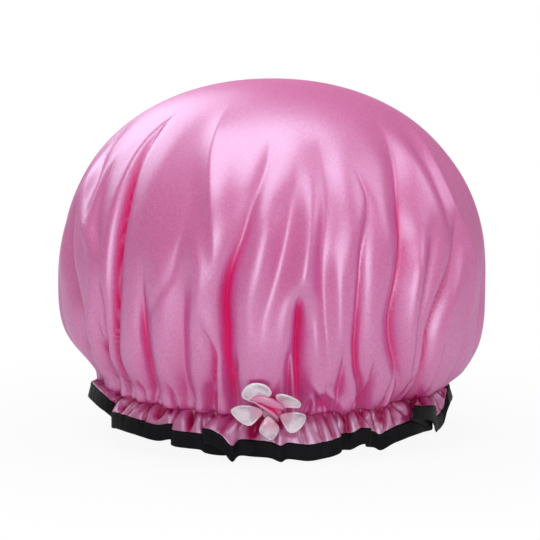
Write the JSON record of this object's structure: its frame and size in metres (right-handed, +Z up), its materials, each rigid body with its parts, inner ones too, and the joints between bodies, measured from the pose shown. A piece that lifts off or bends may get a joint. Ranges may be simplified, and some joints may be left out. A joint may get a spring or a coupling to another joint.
{
  "type": "shower cap",
  "caption": "Gathered satin shower cap with a puffed crown, waterproof lining, elastic band, frilled hem bound in ribbon, and a ribbon flower sewn on at the front.",
  "frame": {"origin": "middle of the hem on the surface that the cap stands on", "axes": "+Z up through the top of the crown, -Y out through the flower at the front"},
  "size_m": [0.2355, 0.2358, 0.194],
  "materials": {
    "pink_satin": "satin weave with a soft sheen",
    "lining_film": "smooth milky waterproof film",
    "black_ribbon": "ribbed woven ribbon",
    "black_thread": "twisted sewing thread",
    "white_elastic": "braided elastic tape",
    "pink_thread": "twisted sewing thread",
    "pink_felt": "matt felt",
    "rose_satin": "folded satin ribbon",
    "petal_satin": "white satin, tinted pink at the base"
  },
  "bodies": {
    "cap": {"satin_crown": "pink_satin", "waterproof_lining": "lining_film", "satin_frill": "pink_satin", "edge_binding": "black_ribbon", "binding_topstitch": "black_thread", "elastic_band": "white_elastic", "elastic_zigzag_thread": "pink_thread", "elastic_bar_tack": "pink_thread", "flower_tack_thread": "pink_thread"},
    "flower": {"flower_backing": "pink_felt", "flower_center_fold": "rose_satin"},
    "petal_upper_right_leaf": {"petal_upper_right": "petal_satin"},
    "petal_upper_left_leaf": {"petal_upper_left": "petal_satin"},
    "petal_left_leaf": {"petal_left": "petal_satin"},
    "petal_bottom_leaf": {"petal_bottom": "petal_satin"},
    "petal_right_leaf": {"petal_right": "petal_satin"}
  },
  "joints": [
    {"name": "flower_twist", "type": "hinge", "parent": "cap", "child": "flower", "pos_m": [0, -0.10076, 0.027], "axis": [0, -0.9063, -0.4226], "range_deg": [-12, 12], "stiffness_Nm_per_rad": 0.0005},
    {"name": "petal_upper_right_bend", "type": "hinge", "parent": "flower", "child": "petal_upper_right_leaf", "pos_m": [0.00378, -0.10331, 0.02842], "axis": [0.5299, 0.3584, -0.7686], "range_deg": [0, 20], "stiffness_Nm_per_rad": 0.0001},
    {"name": "petal_upper_left_bend", "type": "hinge", "parent": "flower", "child": "petal_upper_left_leaf", "pos_m": [-0.00167, -0.10406, 0.03003], "axis": [0.9272, -0.1583, 0.3395], "range_deg": [0, 20], "stiffness_Nm_per_rad": 0.0001},
    {"name": "petal_left_bend", "type": "hinge", "parent": "flower", "child": "petal_left_leaf", "pos_m": [-0.00444, -0.10208, 0.02578], "axis": [-0.1219, -0.4195, 0.8996], "range_deg": [-3, 22], "stiffness_Nm_per_rad": 0.0001},
    {"name": "petal_bottom_bend", "type": "hinge", "parent": "flower", "child": "petal_bottom_leaf", "pos_m": [-0.0004, -0.10042, 0.02207], "axis": [-0.9962, -0.0368, 0.079], "range_deg": [0, 22], "stiffness_Nm_per_rad": 0.0001},
    {"name": "petal_right_bend", "type": "hinge", "parent": "flower", "child": "petal_right_leaf", "pos_m": [0.00388, -0.10137, 0.02425], "axis": [-0.5, 0.366, -0.7849], "range_deg": [-3, 22], "stiffness_Nm_per_rad": 0.0001}
  ]
}
